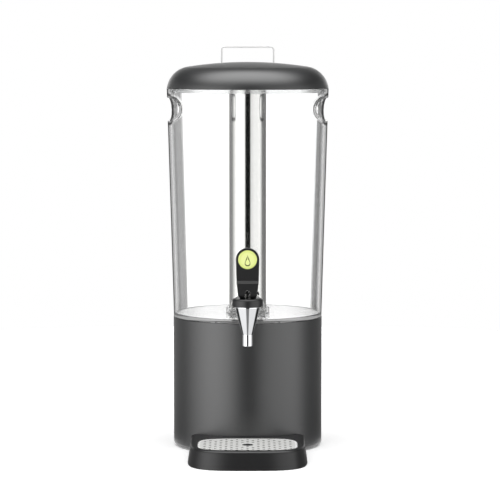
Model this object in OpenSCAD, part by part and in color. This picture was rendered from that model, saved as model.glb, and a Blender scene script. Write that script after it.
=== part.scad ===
// Juice dispenser with a round base, a clear tapered tank, an ice tube, a domed lid,
// a sprung lever tap and a loose drip tray that nests against the base.
// Millimetres. Z is up, the tap and tray face -Y, the table is z = 0.

/* [Base] */
// Outside diameter of the base
base_d = 218; // [205:1:230]
// Height of the base rim above the table
base_h = 190.5; // [170:0.5:220]
// Wall of the base shell
base_wall = 3; // [2.5:0.5:4]
// Width of the flat rim that carries the tank
base_rim_w = 5.5; // [5:0.5:8]
// Rounding of the lower edge
base_edge_r = 5; // [2:0.5:6]
// Depth of the seat in the top of the base
seat_depth = 12; // [9:0.5:16]
// Thickness of the deck under the seat
deck_t = 3; // [2:0.5:5]
// Gap between the table and the lower edge of the base
foot_gap = 1; // [0.5:0.5:3]
// Depth of the bottom plate above the lower edge
plate_inset = 3; // [2.5:0.5:5]
// Thickness of the bottom plate
plate_t = 3; // [2:0.5:5]
// Diameter of a rubber foot
foot_d = 18; // [12:1:26]
// Distance of the rubber feet from the axis
foot_place = 76; // [60:1:84]
// Diameter of a screw shank in the base
base_screw_d = 3.5; // [3:0.5:4.5]
// Length of a screw shank in the base
base_screw_len = 16; // [12:1:22]

/* [Tank] */
// Height of the tank from the base rim to its own rim
tank_h = 335.5; // [300:0.5:380]
// Outside diameter at the tank rim
tank_top_d = 237; // [232:1:250]
// Wall of the tank
tank_wall = 4; // [3:0.5:4.5]
// Thickness of the tank floor
tank_floor_t = 5.5; // [4:0.5:8]
// Step from the base to the foot of the tank
tank_step = 0.4; // [0.2:0.1:0.8]
// Wall of the ring that drops into the base
spigot_wall = 3.5; // [2.5:0.5:5]
// Height of a grip recess
grip_h = 33; // [28:1:36]
// Width of a grip recess along the wall
grip_w = 80; // [70:1:90]
// Depth of a grip recess
grip_depth = 19; // [17:0.5:22]
// Distance of the grip centre below the tank rim
grip_drop = 31; // [29:0.5:40]
// Width of the flat pad that carries the tap
pad_w = 46; // [42:1:54]
// Height of the straight part of the pad above the base rim
pad_h = 20; // [19:0.5:26]
// How far the pad stands out from the foot of the tank
pad_out = 3.4; // [2.6:0.2:5]
// Thickness of the pad
pad_t = 9.5; // [9:0.5:12]

/* [Ice tube] */
// Outside diameter of the ice tube
tube_d = 55; // [48:0.5:62]
// Wall of the ice tube
tube_wall = 1; // [0.8:0.1:2]
// Distance of the tube top below the tank rim
tube_drop = 5; // [3:0.5:12]
// Thickness of the flange on the tube foot
tube_foot_t = 3; // [2:0.5:5]
// Height of the plug inside the tube
tube_plug_h = 10; // [6:1:16]
// Thickness of the ring seal round the tube foot
tube_seal_t = 2; // [1.5:0.1:3]
// Wall of the socket ring on the tank floor
socket_wall = 2.5; // [2:0.5:4]
// Height of the socket ring on the tank floor
socket_h = 8; // [6:0.5:12]

/* [Lid] */
// Rise of the lid above the tank rim
lid_h = 37.4; // [34:0.2:44]
// Drop of the centre of the lid shoulder below the tank rim
lid_edge_drop = 5; // [4:0.5:7]
// Rounding of the lid shoulder
lid_edge_r = 36; // [30:0.5:37]
// Wall of the lid
lid_wall = 3; // [2.5:0.5:3.5]
// Depth of the seal below the tank rim
seal_drop = 6; // [4:0.5:8]
// Height of the seal above the tank rim
seal_up = 6; // [5:0.5:7]
// Step of the seal above the tank rim
seal_step = 1; // [0.8:0.1:1.2]
// Width of the seal across the ring
seal_w = 7; // [6:0.5:9]
// Thickness of the rib that holds the seal
seal_rib_t = 2.4; // [2:0.2:3]

/* [Lid handle] */
// Width over the outside of the handle
handle_w = 78; // [66:1:96]
// Height of the handle above the top of the lid
handle_h = 22.8; // [18:0.2:34]
// Depth of the handle strip
handle_deep = 20; // [16:1:26]
// Thickness of the handle strip
handle_t = 2; // [1.5:0.5:3]
// Rounding of the outside of the bends
handle_bend_r = 5.5; // [4:0.5:8]
// Length of a foot under the lid
handle_foot = 17; // [16:0.5:22]
// Depth of the handle feet below the top of the lid
handle_foot_drop = 11; // [9:0.5:13]
// Diameter of a handle screw shank
handle_screw_d = 4; // [3:0.5:5]

/* [Tap body] */
// Distance from the face of the pad to the tap axis
tap_reach = 40; // [36:0.5:48]
// Outside diameter of the shank
shank_d = 16.4; // [15:0.2:16.8]
// Inside diameter of the shank
shank_bore = 11; // [8:0.5:11.5]
// Height from the shank axis to the top of the cone
cone_rise = 8.5; // [8.4:0.1:12]
// Diameter at the top of the cone
cone_d = 36; // [33:0.5:38]
// Height of the cone
cone_h = 38.6; // [36:0.2:46]
// Diameter of the spout tip
tip_d = 15; // [13.4:0.2:17]
// Length of the spout tip
tip_h = 16.4; // [10:0.2:22]
// Diameter of the outlet
outlet_d = 10.4; // [8:0.2:11]
// Wall of the cone
cone_wall = 2.5; // [2:0.1:3]
// Diameter of the flange in front of the outer washer
flange_d = 28; // [24:0.5:32]
// Thickness of the flange in front of the outer washer
flange_t = 4; // [3:0.5:6]
// Thickness of a shank washer
washer_t = 2; // [1.5:0.5:3]
// Width across the flats of the shank nut
nut_af = 24; // [22:0.5:26]
// Thickness of the shank nut
nut_t = 9; // [6:0.5:12]

/* [Tap collar] */
// Diameter of the collar
collar_d = 44; // [41:0.2:48]
// Height of the collar
collar_h = 11.5; // [10.5:0.1:14]
// Rounding of the upper edge of the collar
collar_edge_r = 3; // [1:0.5:4]
// Thickness of the collar top
collar_top_t = 3.7; // [3:0.1:4.5]
// Step between the top of the cone and the collar
collar_step = 1.5; // [1:0.1:2.5]

/* [Tap valve] */
// Diameter of the stem
stem_d = 5; // [4:0.2:5.4]
// Height of the pivot pin above the collar
pivot_h = 7; // [6:0.1:9]
// Diameter of the pivot pin
pin_d = 3; // [2.4:0.1:3.4]
// Thickness of the stem eye
eye_t = 3.2; // [2.6:0.2:4.4]
// Diameter of the pin head
pin_head_d = 5.6; // [4.6:0.2:6.4]
// Thickness of the pin head
pin_head_t = 1.4; // [1:0.2:2]
// Diameter of the seat cup
cup_d = 13; // [12:0.2:13.4]
// Height of the seat cup
cup_h = 7; // [5:0.5:9]
// Wire of the spring
wire_d = 1.1; // [0.8:0.1:1.3]
// Mean diameter of the spring
spring_d = 9.4; // [8.8:0.1:10.4]
// Turns of the spring
spring_turns = 7; // [5:1:9]
// Height of the seal round the stem
stem_seal_t = 2.8; // [2:0.2:3.6]
// Diameter of the seal round the stem
stem_seal_d = 14; // [12.4:0.2:16]

/* [Tap lever] */
// Width of the lever at the badge
lever_w = 33.2; // [30:0.2:38]
// Height of the lever above the collar
lever_h = 72; // [66:0.5:84]
// Width of the lever at the ledge
lever_waist = 31.4; // [28:0.2:33]
// Width of the lever foot
lever_foot_w = 27; // [24:0.5:29]
// Height of the slanted corners of the lever foot
lever_foot_cut = 5; // [3:0.5:8]
// Height of the ledge above the collar
ledge_h = 23.2; // [21:0.2:27]
// Thickness of the lever blade
blade_t = 7; // [5:0.5:9]
// Distance from the tap axis to the front of the blade
blade_front = 7; // [6:0.2:8]
// How far the foot cam sits ahead of the pivot
cam_ahead = 5.16; // [4:0.04:6]
// Width of the stem slot in the lever
slot_w = 7.6; // [6.6:0.2:9]
// Height of the stem slot above the collar
slot_h = 12.4; // [12.2:0.2:16]
// Distance of the badge centre below the top of the lever
badge_drop = 16.5; // [15:0.5:20]
// Diameter of the badge
badge_d = 26.5; // [22:0.5:27]
// Thickness of the badge
badge_t = 1.6; // [1.2:0.2:2.4]
// How far the badge stands out from the lever
badge_out = 0.5; // [0.2:0.1:0.8]

/* [Drip tray] */
// Width over the tray rim
tray_w = 163; // [156:1:180]
// Height of the tray rim
tray_h = 27; // [22:0.5:34]
// Flare of the skirt from rim to table
tray_flare = 3.5; // [2:0.5:6]
// Distance from the axis to the widest place of the tray
tray_wide = 150; // [140:1:155]
// Distance from the widest place to the front of the rim
tray_front = 89; // [84:1:104]
// Distance from the axis to the rear corners
tray_rear = 79; // [72:1:88]
// Rounding of the rim edge
tray_edge_r = 4; // [1.5:0.5:5]
// Rounding of the rear corners in plan
tray_corner_r = 10; // [4:0.5:12]
// Wall of the tray skirt
tray_wall = 2.5; // [2:0.5:3.5]
// Thickness of the tray floor
tray_floor = 2.5; // [2:0.5:4]
// Width of the ledge that carries the grid
tray_ledge = 4; // [3:0.5:6]
// Gap between the tray and the base
tray_gap = 0.4; // [0.3:0.1:0.9]

/* [Drip grid] */
// Width of the grid
grid_w = 141; // [130:1:149]
// Depth of the grid
grid_deep = 112; // [100:1:115]
// Distance from the axis to the grid centre
grid_place = 171; // [170:0.5:172]
// Thickness of the grid plate
grid_t = 1.2; // [0.8:0.1:2]
// Depth of the grid below the rim
grid_drop = 1.6; // [0.5:0.1:3]
// Diameter of a grid hole
hole_d = 4; // [3:0.2:5]
// Spacing of the hole columns
hole_pitch = 7.6; // [7:0.1:9]
// Diameter of the finger hole
finger_d = 16; // [13:0.5:22]
// Gap round the grid
grid_gap = 0.4; // [0.3:0.1:0.8]

/* [Fits] */
// Running gap at a pin or stem
run_gap = 0.05; // [0.03:0.01:0.08]
// Gap between pieces screwed or plugged together
fit_gap = 0.1; // [0.05:0.01:0.15]
// Gap between pieces that lift apart
lift_gap = 0.3; // [0.3:0.05:0.5]

/* [Hidden] */
$fn = 64;
eps = 0.01;
big = 400;

base_r = base_d / 2;
deck_z = base_h - seat_depth;
plate_z = foot_gap + plate_inset;
plate_top = plate_z + plate_t;
tower_r = 5.5;
tower_place = base_r - base_wall - 3.6;
base_screw_r = base_screw_d / 2;
base_head_r = base_screw_d * 1.05;
base_head_h = plate_inset * 0.7;

floor_z = base_h + tank_floor_t;
rim_z = base_h + tank_h;
tank_r0 = base_r - tank_step;
tank_r1 = tank_top_d / 2;
function tank_r(z) = tank_r0 + (tank_r1 - tank_r0) * (z - base_h) / tank_h;
spigot_r = base_r - base_rim_w - lift_gap;

grip_z = rim_z - grip_drop;
grip_r = grip_h / 2;
grip_wall_r = tank_r(grip_z);
grip_x = grip_wall_r - grip_depth + grip_r;
grip_edge_x = sqrt(pow(grip_wall_r, 2) - pow(grip_w / 2, 2));
grip_len = grip_w / 2 - sqrt(max(1, pow(grip_r, 2) - pow(grip_edge_x - grip_x, 2)));

shank_z = base_h + pad_h;
pad_face = tank_r0 + pad_out;
pad_back = pad_face - pad_t;
tap_y = -(pad_face + tap_reach);
shank_r = shank_d / 2;
nut_r = nut_af / 2;
washer_r = nut_r + 0.8;
shank_end = pad_back - washer_t - nut_t - 2;

cone_z = shank_z + cone_rise;
cone_foot_z = cone_z - cone_h;
tip_z = cone_foot_z - tip_h;
cone_r = cone_d / 2;
tip_r = tip_d / 2;
cone_slope = (cone_r - tip_r) / cone_h;
function chamber_r(z) = cone_r - cone_wall - (cone_z - z) * cone_slope;
seat_z = cone_foot_z + 9;

collar_z = cone_z + collar_step;
collar_top = collar_z + collar_h;
collar_in = collar_top - collar_top_t;
neck_top = collar_in - fit_gap;
stem_r = stem_d / 2;
stem_seal_z = collar_in - stem_seal_t;
cup_top = seat_z + cup_h;
wire_steps = 12;
wire_sides = 6;
pivot_z = collar_top + pivot_h;
pin_r = pin_d / 2;
eye_r = pin_r + 2.4;

cam_r = pivot_h - lift_gap;
lever_top = collar_top + lever_h;
lever_r = lever_w / 2;
ledge_z = collar_top + ledge_h;
badge_z = lever_top - badge_drop;
lever_round_z = lever_top - lever_r;
blade_y = tap_y - blade_front;
pin_half = lever_foot_w / 2 + 0.6;
head_x = pin_half;

tube_r = tube_d / 2;
tube_z = floor_z + tube_foot_t;
tube_top = rim_z - tube_drop;
plug_r = tube_r - tube_wall - fit_gap;
tube_seal_r = tube_r + fit_gap + tube_seal_t;
socket_r = tube_seal_r + lift_gap;

lid_top = rim_z + lid_h;
shoulder_z = rim_z - lid_edge_drop;
shoulder_x = tank_r1 - lid_edge_r;
crown_h = lid_top - shoulder_z;
crown_r = (pow(shoulder_x, 2) + pow(crown_h, 2) - pow(lid_edge_r, 2)) / (2 * (crown_h - lid_edge_r));
crown_z = lid_top - crown_r;
seal_r = tank_r1 - tank_wall - lift_gap;
seal_mid = seal_r - seal_w / 2;

handle_top = lid_top + handle_h;
handle_foot_z = lid_top - handle_foot_drop;
handle_x = handle_w / 2;
handle_screw_x = handle_x - handle_t - handle_foot / 2;
handle_screw_r = handle_screw_d / 2;
handle_boss_r = handle_screw_r + 3.5;
handle_screw_up = handle_foot_drop - lid_wall - 1;

tray_x = tray_w / 2;
grid_top = tray_h - grid_drop;
grid_z = grid_top - grid_t;
tray_hollow_z = grid_z - 3;

// Shared helpers

module corner_cut(r) {
  difference() {
    translate([-1, -1])
      square(r + 1);
    translate([r, r])
      circle(r);
  }
}

module ring(r_out, r_in, z, h) {
  translate([0, 0, z])
    difference() {
      cylinder(r = r_out, h = h);
      translate([0, 0, -1])
        cylinder(r = r_in, h = h + 2);
    }
}

module at_quarters(first, place) {
  for (i = [0:3])
    rotate([0, 0, first + 90 * i])
      translate([place, 0, 0])
        children();
}

module both_sides() {
  children();
  mirror([1, 0, 0])
    children();
}

module along_tap() {
  translate([0, 0, shank_z])
    rotate([90, 0, 0])
      children();
}

module at_tap() {
  translate([0, tap_y, 0])
    children();
}

// Base

module base_shell() {
  color([0.20, 0.21, 0.22]) {
    difference() {
      union() {
        rotate_extrude()
          difference() {
            union() {
              translate([base_r - base_wall, foot_gap])
                square([base_wall, base_h - foot_gap]);
              translate([base_r - base_rim_w, deck_z - deck_t])
                square([base_rim_w, seat_depth + deck_t]);
              translate([0, deck_z - deck_t])
                square([base_r - 1, deck_t]);
            }
            translate([base_r, foot_gap])
              mirror([1, 0])
                corner_cut(base_edge_r);
            translate([base_r, base_h])
              mirror([1, 0])
                mirror([0, 1])
                  corner_cut(0.8);
          }
        intersection() {
          at_quarters(0, tower_place)
            translate([0, 0, plate_top])
              cylinder(r = tower_r, h = base_screw_len + 6);
          cylinder(r = base_r - base_wall / 2, h = base_h);
        }
      }
      at_quarters(0, tower_place)
        translate([0, 0, plate_top - 1])
          cylinder(r = base_screw_r + fit_gap, h = base_screw_len + 1);
    }
  }
}

module base_plate() {
  color([0.18, 0.19, 0.20]) {
    difference() {
      translate([0, 0, plate_z])
        cylinder(r = base_r - base_wall - lift_gap, h = plate_t);
      at_quarters(0, tower_place)
        translate([0, 0, plate_z - 1])
          cylinder(r = base_screw_r + fit_gap, h = plate_t + 2);
    }
  }
}

module base_screws() {
  color([0.75, 0.76, 0.78]) {
    at_quarters(0, tower_place) {
      translate([0, 0, plate_z])
        cylinder(r = base_screw_r, h = base_screw_len);
      translate([0, 0, plate_z - base_head_h])
        difference() {
          cylinder(r = base_head_r, h = base_head_h);
          for (a = [0, 90])
            rotate([0, 0, a])
              translate([-base_head_r * 0.65, -0.4, -1])
                cube([base_head_r * 1.3, 0.8, 1 + base_head_h * 0.5]);
        }
    }
  }
}

module rubber_feet() {
  color([0.08, 0.08, 0.08]) {
    at_quarters(45, foot_place)
      rotate_extrude()
        difference() {
          square([foot_d / 2, plate_z]);
          translate([foot_d / 2, 0])
            mirror([1, 0])
              corner_cut(0.8);
        }
  }
}

// Drip tray and grid

function sgn_pow(v, p) = sign(v) * pow(abs(v), p);

function oval(x, y, power) = [for (i = [0:71])
  [x * sgn_pow(cos(i * 5), 2 / power), y * sgn_pow(sin(i * 5), 2 / power)]];

module tray_plan(out, back) {
  translate([0, -tray_wide])
    polygon(concat(
      [for (i = [0:36])
        [(tray_x + out) * sgn_pow(cos(180 + i * 5), 2 / 3.5),
         (tray_front + out) * sgn_pow(sin(180 + i * 5), 2 / 3.5)]],
      [for (i = [0:4])
        [tray_x + out - tray_corner_r * (1 - cos(i * 22.5)),
         tray_wide - tray_rear - back - tray_corner_r * (1 - sin(i * 22.5))]],
      [for (i = [4:8])
        [-tray_x - out + tray_corner_r * (1 + cos(i * 22.5)),
         tray_wide - tray_rear - back - tray_corner_r * (1 - sin(i * 22.5))]]));
}

module tray_form(inset, z_low, z_high) {
  hull() {
    translate([0, 0, z_low])
      linear_extrude(eps)
        tray_plan(tray_flare - inset, inset);
    translate([0, 0, z_high - tray_edge_r])
      linear_extrude(eps)
        tray_plan(0.5 - inset, inset);
    for (a = [30, 60, 90])
      translate([0, 0, z_high - eps - tray_edge_r * (1 - sin(a))])
        linear_extrude(eps)
          tray_plan(0.5 - inset - tray_edge_r * (1 - cos(a)), inset);
  }
}

module grid_plan(out) {
  translate([0, -grid_place])
    polygon(oval(grid_w / 2 + out, grid_deep / 2 + out, 4));
}

module drip_tray() {
  color([0.10, 0.10, 0.11]) {
    difference() {
      tray_form(0, 0, tray_h);
      translate([0, 0, -1])
        cylinder(r = base_r + tray_gap, h = tray_h + 2);
      translate([0, 0, grid_z])
        linear_extrude(tray_h)
          grid_plan(grid_gap);
      translate([0, 0, tray_floor])
        linear_extrude(tray_h)
          grid_plan(-tray_ledge);
      difference() {
        tray_form(tray_wall, -1, tray_hollow_z);
        translate([0, 0, -2])
          cylinder(r = base_r + tray_gap + tray_wall, h = tray_h + 4);
        translate([0, 0, -2])
          linear_extrude(tray_h + 4)
            grid_plan(tray_wall - tray_ledge);
      }
    }
  }
}

module drip_grid() {
  color([0.78, 0.79, 0.80]) {
    columns = floor((grid_w / 2 - 9) / hole_pitch);
    rows = floor((grid_deep / 2 - 5) / hole_pitch);
    translate([0, 0, grid_z])
      linear_extrude(grid_t)
        difference() {
          grid_plan(0);
          translate([0, -grid_place])
            circle(d = finger_d);
          for (i = [-columns:columns], j = [-rows:rows])
            if ((i + j) % 2 == 0
                && pow(abs(i * hole_pitch) / (grid_w / 2 - 7), 4)
                   + pow(abs(j * hole_pitch) / (grid_deep / 2 - 7), 4) < 1
                && norm([i, j]) * hole_pitch > finger_d / 2 + hole_d / 2 + 1.5)
              translate([i * hole_pitch, j * hole_pitch - grid_place])
                circle(d = hole_d);
        }
  }
}

// Tank

module grip_form(r) {
  translate([grip_x, 0, grip_z])
    rotate([90, 0, 0])
      cylinder(r = r, h = 2 * grip_len, center = true);
  for (s = [-1, 1])
    translate([grip_x, s * grip_len, grip_z])
      sphere(r = r);
}

module pad_plan() {
  translate([0, shank_z])
    circle(d = pad_w);
  translate([-pad_w / 2, base_h])
    square([pad_w, pad_h]);
}

module pad_block() {
  translate([0, -pad_back, 0])
    rotate([90, 0, 0])
      linear_extrude(pad_t)
        pad_plan();
}

module tank() {
  color([0.85, 0.92, 0.95, 0.35]) {
    difference() {
      union() {
        rotate_extrude()
          polygon([
            [0, base_h],
            [spigot_r - spigot_wall, base_h],
            [spigot_r - spigot_wall, deck_z + 1],
            [spigot_r, deck_z + 1],
            [spigot_r, base_h],
            [tank_r0, base_h],
            [tank_r1, rim_z],
            [0, rim_z]]);
        intersection() {
          pad_block();
          translate([-big, -big, base_h])
            cube([2 * big, 2 * big, big]);
        }
      }
      difference() {
        rotate_extrude()
          polygon([
            [0, floor_z],
            [tank_r(floor_z) - tank_wall, floor_z],
            [tank_r1 - tank_wall, rim_z],
            [tank_r1 - tank_wall, rim_z + 1],
            [0, rim_z + 1]]);
        both_sides()
          grip_form(grip_r + tank_wall);
        pad_block();
        ring(socket_r + socket_wall, socket_r, floor_z - 1, socket_h + 1);
      }
      both_sides()
        grip_form(grip_r);
      along_tap()
        translate([0, 0, pad_back - 1])
          cylinder(r = shank_r + fit_gap, h = pad_t + 2);
    }
  }
}

// Tap fixed to the tank

module tap_body() {
  color([0.80, 0.81, 0.83]) {
    difference() {
      union() {
        at_tap()
          rotate_extrude()
            polygon([
              [0, tip_z],
              [tip_r, tip_z],
              [tip_r, cone_foot_z],
              [cone_r, cone_z],
              [cone_r, neck_top],
              [0, neck_top]]);
        along_tap()
          translate([0, 0, shank_end])
            cylinder(r = shank_r, h = -tap_y - shank_end);
        along_tap()
          translate([0, 0, pad_face + washer_t])
            cylinder(d = flange_d, h = flange_t);
      }
      at_tap()
        rotate_extrude()
          polygon([
            [0, tip_z - 1],
            [outlet_d / 2, tip_z - 1],
            [outlet_d / 2, seat_z],
            [chamber_r(seat_z), seat_z],
            [chamber_r(cone_z), cone_z],
            [chamber_r(cone_z), neck_top + 1],
            [0, neck_top + 1]]);
      along_tap()
        translate([0, 0, shank_end - 1])
          cylinder(d = shank_bore, h = -tap_y - shank_end + 1);
    }
  }
}

module tap_collar() {
  color([0.12, 0.12, 0.13]) {
    at_tap()
      rotate_extrude()
        difference() {
          translate([stem_r + run_gap, collar_z])
            square([collar_d / 2 - stem_r - run_gap, collar_h]);
          translate([0, collar_z - 1])
            square([cone_r + fit_gap, collar_in - collar_z + 1]);
          translate([collar_d / 2, collar_top])
            mirror([1, 0])
              mirror([0, 1])
                corner_cut(collar_edge_r);
        }
  }
}

module tap_nut() {
  color([0.90, 0.90, 0.88]) {
    along_tap()
      translate([0, 0, pad_back - washer_t - nut_t])
        difference() {
          linear_extrude(nut_t)
            polygon([for (a = [0:60:300])
              [nut_r / cos(30) * cos(a), nut_r / cos(30) * sin(a)]]);
          translate([0, 0, -1])
            cylinder(r = shank_r + fit_gap, h = nut_t + 2);
        }
  }
}

module outer_washer() {
  color([0.85, 0.85, 0.83]) {
    along_tap()
      ring(flange_d / 2 - 0.5, shank_r + fit_gap, pad_face, washer_t);
  }
}

module inner_washer() {
  color([0.85, 0.85, 0.83]) {
    along_tap()
      ring(washer_r, shank_r + fit_gap, pad_back - washer_t, washer_t);
  }
}

module stem_seal() {
  color([0.80, 0.78, 0.74]) {
    at_tap()
      ring(stem_seal_d / 2, stem_r + run_gap, stem_seal_z, stem_seal_t);
  }
}

// Tap valve

module tap_stem() {
  color([0.72, 0.73, 0.75]) {
    at_tap()
      difference() {
        union() {
          translate([0, 0, seat_z + 2])
            cylinder(r = stem_r, h = collar_top + 1.5 - seat_z - 2);
          translate([-eye_t / 2, 0, 0])
            rotate([90, 0, 90])
              linear_extrude(eye_t) {
                translate([0, pivot_z])
                  circle(eye_r);
                translate([-eye_r, collar_top + lift_gap])
                  square([2 * eye_r, pivot_h - lift_gap]);
              }
        }
        translate([0, 0, pivot_z])
          rotate([0, 90, 0])
            cylinder(r = pin_r + run_gap, h = 2 * eye_t, center = true);
      }
  }
}

module seat_cup() {
  color([0.88, 0.86, 0.82]) {
    at_tap()
      difference() {
        rotate_extrude()
          difference() {
            translate([0, seat_z])
              square([cup_d / 2, cup_h]);
            translate([cup_d / 2, cup_top])
              mirror([1, 0])
                mirror([0, 1])
                  corner_cut(0.6);
          }
        translate([0, 0, seat_z + 2])
          cylinder(r = stem_r + fit_gap, h = cup_h);
      }
  }
}

function wire_point(i, k) = let(
    turn = i * 360 / wire_steps,
    lean = k * 360 / wire_sides,
    r = spring_d / 2 + wire_d / 2 * cos(lean),
    rise = (stem_seal_z - cup_top - wire_d) / (spring_turns * wire_steps),
    z = cup_top + wire_d / 2 + rise * i + wire_d / 2 * sin(lean))
  [r * cos(turn), r * sin(turn), z];

module tap_spring() {
  color([0.70, 0.71, 0.73]) {
    sides = wire_sides;
    last = spring_turns * wire_steps;
    at_tap()
      polyhedron(
        points = [for (i = [0:last], k = [0:sides - 1]) wire_point(i, k)],
        faces = concat(
          [[for (k = [0:sides - 1]) k]],
          [for (i = [0:last - 1], k = [0:sides - 1])
            [i * sides + k, (i + 1) * sides + k, (i + 1) * sides + (k + 1) % sides]],
          [for (i = [0:last - 1], k = [0:sides - 1])
            [i * sides + k, (i + 1) * sides + (k + 1) % sides, i * sides + (k + 1) % sides]],
          [[for (k = [sides - 1:-1:0]) last * sides + k]]));
  }
}

// Tap lever

module lever_front() {
  translate([0, lever_round_z])
    circle(lever_r);
  polygon([
    [-lever_r, lever_round_z],
    [-lever_waist / 2, ledge_z],
    [-lever_foot_w / 2, collar_top + lever_foot_cut],
    [-lever_foot_w / 2 + lever_foot_cut / 2, collar_top],
    [lever_foot_w / 2 - lever_foot_cut / 2, collar_top],
    [lever_foot_w / 2, collar_top + lever_foot_cut],
    [lever_waist / 2, ledge_z],
    [lever_r, lever_round_z]]);
}

module lever_side() {
  for (y = [-cam_ahead, 2])
    translate([y, pivot_z])
      circle(cam_r);
  translate([-cam_ahead, pivot_z - cam_r])
    square([cam_ahead + 2, 2 * cam_r]);
  polygon([
    [-cam_ahead - cam_r, pivot_z],
    [2 + cam_r, pivot_z],
    [blade_t - blade_front + 1, ledge_z + 6],
    [blade_t - blade_front, ledge_z + 14],
    [blade_t - blade_front, lever_top],
    [-blade_front, lever_top],
    [-blade_front, ledge_z + 2],
    [-cam_ahead - cam_r + 0.4, ledge_z - 1]]);
}

module tap_lever() {
  color([0.09, 0.09, 0.10]) {
    difference() {
      intersection() {
        translate([0, tap_y + 40, 0])
          rotate([90, 0, 0])
            linear_extrude(80)
              lever_front();
        translate([-30, tap_y, 0])
          rotate([90, 0, 90])
            linear_extrude(60)
              lever_side();
      }
      translate([0, tap_y + 40, 0])
        rotate([90, 0, 0])
          linear_extrude(80) {
            translate([0, collar_top + slot_h - slot_w / 2])
              circle(d = slot_w);
            translate([-slot_w / 2, collar_top - 5])
              square([slot_w, slot_h - slot_w / 2 + 5]);
          }
      translate([0, tap_y, pivot_z])
        rotate([0, 90, 0])
          cylinder(r = pin_r + run_gap, h = 60, center = true);
      translate([0, blade_y - 1, badge_z])
        rotate([-90, 0, 0])
          cylinder(r = badge_d / 2 + fit_gap, h = 1 + badge_t - badge_out);
    }
  }
}

module lever_pin() {
  color([0.75, 0.76, 0.78]) {
    translate([0, tap_y, pivot_z])
      rotate([0, 90, 0]) {
        translate([0, 0, -pin_half])
          cylinder(r = pin_r, h = pin_half + head_x + eps);
        translate([0, 0, head_x + 1])
          cylinder(d = pin_head_d, h = pin_head_t);
        translate([0, 0, head_x])
          cylinder(r1 = pin_r, r2 = pin_head_d / 2, h = 1);
      }
  }
}

module lever_badge() {
  color([0.72, 0.84, 0.18]) {
    translate([0, blade_y - badge_out, badge_z])
      rotate([-90, 0, 0])
        cylinder(d = badge_d, h = badge_t);
  }
}

// Ice tube

module ice_tube() {
  color([0.82, 0.83, 0.84]) {
    ring(tube_r, tube_r - tube_wall, tube_z, tube_top - tube_z);
  }
}

module tube_foot() {
  color([0.90, 0.90, 0.90]) {
    translate([0, 0, floor_z])
      cylinder(r = tube_r, h = tube_foot_t);
    ring(plug_r, plug_r - 2.5, tube_z, tube_plug_h);
  }
}

module tube_seal() {
  color([0.86, 0.86, 0.84]) {
    ring(tube_seal_r, tube_r + fit_gap, floor_z + lift_gap, socket_h - 2);
  }
}

// Lid

module dome_plan(inset) {
  intersection() {
    translate([0, crown_z])
      circle(crown_r - inset, $fn = 360);
    translate([0, rim_z - inset])
      square([shoulder_x * crown_r / (crown_r - lid_edge_r), lid_h + inset]);
  }
  intersection() {
    translate([shoulder_x, shoulder_z])
      circle(lid_edge_r - inset);
    translate([0, rim_z - inset])
      square([big, big]);
  }
}

module lid_shell() {
  color([0.22, 0.23, 0.24]) {
    difference() {
      union() {
        rotate_extrude() {
          difference() {
            dome_plan(0);
            dome_plan(lid_wall);
          }
          intersection() {
            dome_plan(lid_wall / 2);
            translate([seal_mid - seal_rib_t / 2, rim_z + 1])
              square([seal_rib_t, lid_h]);
          }
        }
        intersection() {
          rotate_extrude()
            dome_plan(lid_wall / 2);
          both_sides()
            translate([handle_screw_x, 0, handle_foot_z])
              cylinder(r = handle_boss_r, h = handle_foot_drop);
        }
      }
      both_sides() {
        translate([handle_screw_x, 0, handle_foot_z - 1])
          cylinder(r = handle_screw_r + fit_gap, h = handle_screw_up + 1);
        translate([handle_x - handle_t - fit_gap, -handle_deep / 2 - fit_gap, handle_foot_z])
          cube([handle_t + 2 * fit_gap, handle_deep + 2 * fit_gap, lid_h]);
      }
    }
  }
}

module lid_seal() {
  color([0.88, 0.89, 0.90]) {
    difference() {
      ring(seal_r, seal_r - seal_w, rim_z - seal_drop, seal_drop + seal_up);
      ring(seal_r + 1, seal_r - seal_step, rim_z, seal_up + 1);
      ring(seal_mid + seal_rib_t / 2 + fit_gap, seal_mid - seal_rib_t / 2 - fit_gap, rim_z + 1 - fit_gap, seal_up);
    }
  }
}

module strip_plan(out, low) {
  r = handle_bend_r - out;
  x = handle_x - out;
  z = handle_top - out;
  for (s = [-1, 1])
    translate([s * (x - r), z - r])
      circle(r);
  translate([r - x, low])
    square([2 * (x - r), z - low]);
  translate([-x, low])
    square([2 * x, z - r - low]);
}

module lid_handle() {
  color([0.85, 0.86, 0.87]) {
    difference() {
      translate([0, handle_deep / 2, 0])
        rotate([90, 0, 0])
          linear_extrude(handle_deep) {
            difference() {
              strip_plan(0, handle_foot_z - handle_t);
              strip_plan(handle_t, handle_foot_z - handle_t - 1);
            }
            for (s = [-1, 1])
              translate([s * (handle_x - (handle_t + handle_foot) / 2), handle_foot_z - handle_t / 2])
                square([handle_t + handle_foot, handle_t], center = true);
          }
      both_sides()
        translate([handle_screw_x, 0, handle_foot_z - handle_t - 1])
          cylinder(r = handle_screw_r + fit_gap, h = handle_t + 2);
    }
  }
}

module handle_screws() {
  color([0.75, 0.76, 0.78]) {
    both_sides()
      translate([handle_screw_x, 0, 0]) {
        translate([0, 0, handle_foot_z - handle_t - 1])
          cylinder(r = handle_screw_r, h = handle_t + handle_screw_up);
        translate([0, 0, handle_foot_z - handle_t - 1 - handle_screw_d * 0.6])
          difference() {
            cylinder(r = handle_screw_d * 0.95, h = handle_screw_d * 0.6);
            for (a = [0, 90])
              rotate([0, 0, a])
                translate([-handle_screw_d * 0.6, -0.4, -1])
                  cube([handle_screw_d * 1.2, 0.8, 1 + handle_screw_d * 0.3]);
          }
      }
  }
}

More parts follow.
